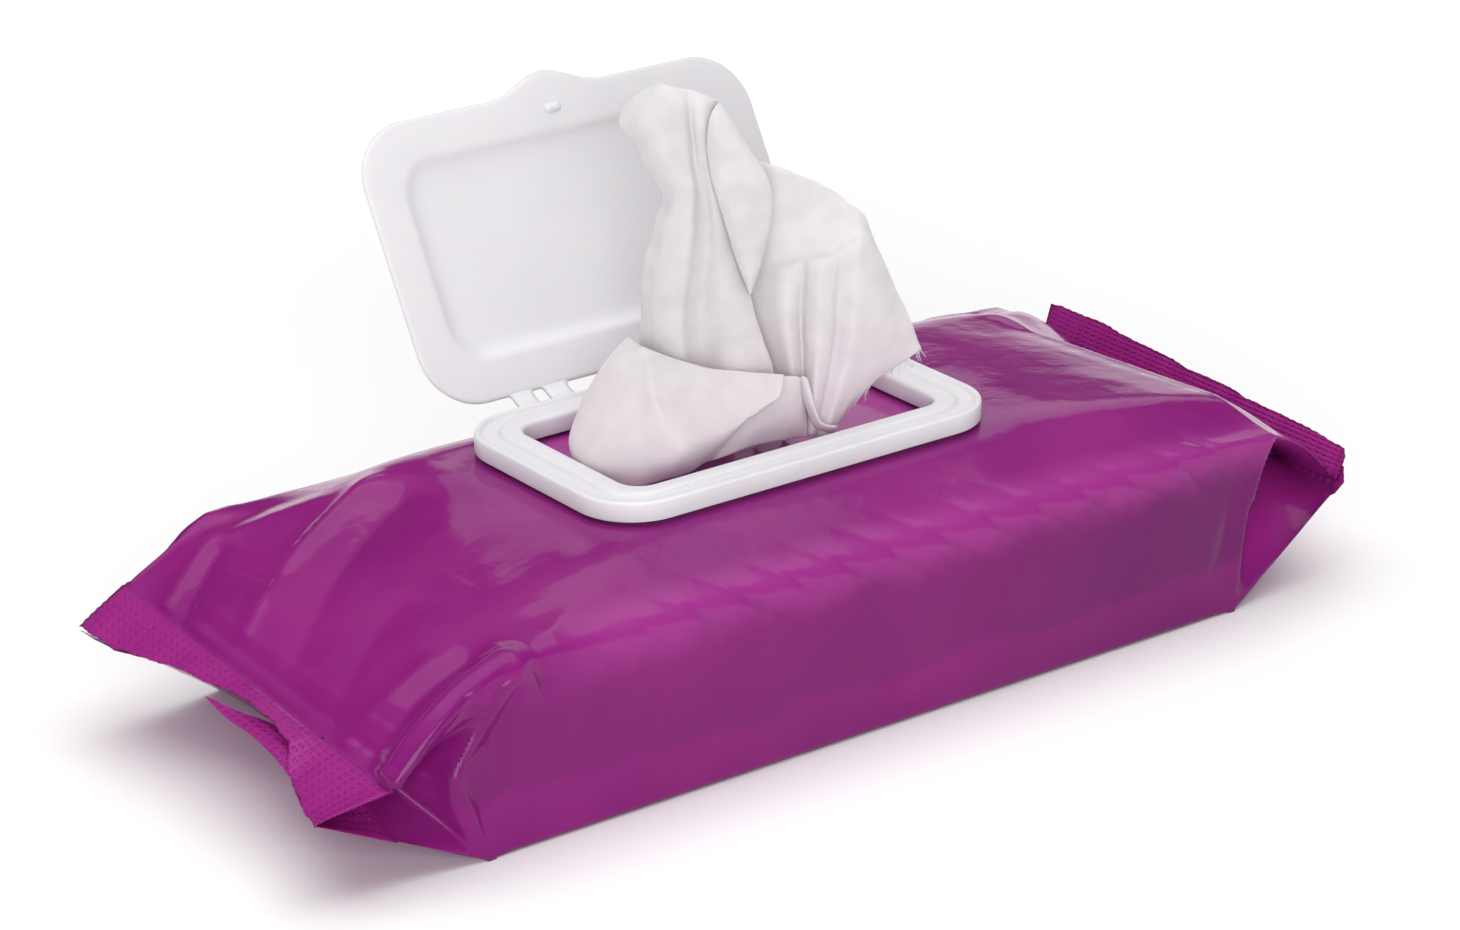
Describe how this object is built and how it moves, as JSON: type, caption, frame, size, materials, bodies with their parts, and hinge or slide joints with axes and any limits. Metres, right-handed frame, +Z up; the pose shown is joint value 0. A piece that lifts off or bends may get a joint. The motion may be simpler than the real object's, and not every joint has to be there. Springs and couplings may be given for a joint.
{
  "type": "wet wipes pack",
  "caption": "Soft film pack of wet wipes lying flat, with crimped ends and an open moulded flip lid over the slot, one wipe pulled half out.",
  "frame": {"origin": "middle of the pack's base, on the surface that it lies on", "axes": "+X along the pack, +Y away from its near long side and towards the lid's hinge, +Z up"},
  "size_m": [0.2652, 0.1197, 0.1255],
  "materials": {
    "film": "glossy purple printed film",
    "wipe": "damp white nonwoven",
    "moulding": "white satin moulded plastic",
    "adhesive": "hot-melt bead"
  },
  "bodies": {
    "pack": {"film_wrap": "film", "wipe_stack": "wipe", "pulled_wipe": "wipe", "adhesive_ring": "adhesive", "lid_frame": "moulding", "hinge_strap_1": "moulding", "hinge_strap_2": "moulding", "hinge_strap_3": "moulding", "hinge_strap_4": "moulding"},
    "lid": {"lid": "moulding"}
  },
  "joints": [
    {"name": "lid_hinge", "type": "hinge", "parent": "pack", "child": "lid", "pos_m": [-0.0015, 0.0321, 0.0538], "axis": [1, 0, 0], "range_deg": [0, 120], "deforming": ["pulled_wipe", "hinge_strap_1", "hinge_strap_2", "hinge_strap_3", "hinge_strap_4"]}
  ]
}
